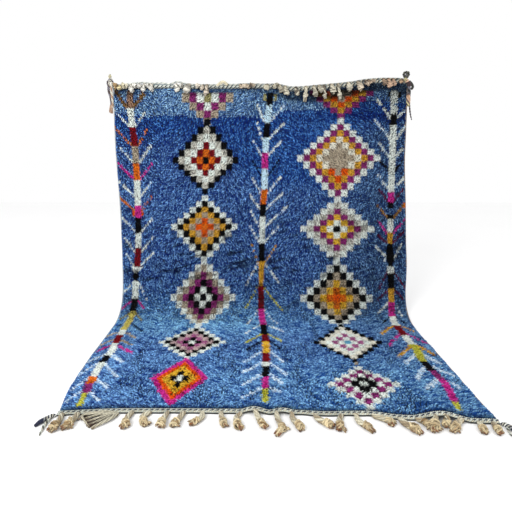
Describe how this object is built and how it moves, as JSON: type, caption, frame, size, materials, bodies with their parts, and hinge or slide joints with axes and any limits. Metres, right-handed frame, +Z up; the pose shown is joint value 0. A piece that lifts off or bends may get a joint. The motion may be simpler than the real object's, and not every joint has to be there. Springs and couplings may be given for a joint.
{
  "type": "knotted pile rug, hung and draped to the floor",
  "caption": "Deep wool pile rug with stepped lozenges, knotted fringes and corner ties, hung by its top edge and sweeping forward onto the floor.",
  "frame": {"origin": "middle of the rug's top edge, on the plane of its back, where what holds it up is", "axes": "+Z up, -Y the way the pile faces and the lying end reaches, +X to the right seen from the pile; the ground is at z = -1.305 m"},
  "size_m": [1.7096, 1.1165, 1.37],
  "materials": {
    "wool_pile": "deep blue cut wool pile with many-coloured stepped lozenges, matte",
    "warp": "undyed cream wool warp, flat-woven and knotted, matte",
    "wrapped_yarn": "navy and cream wool yarn, twisted and wrapped, matte"
  },
  "bodies": {
    "root": {"pile_cloth": "wool_pile", "top_fringe": "warp", "front_fringe": "warp", "upper_left_tie": "wrapped_yarn", "upper_right_tie": "wrapped_yarn", "lower_left_tie": "wrapped_yarn", "lower_right_tie": "wrapped_yarn"}
  },
  "joints": []
}
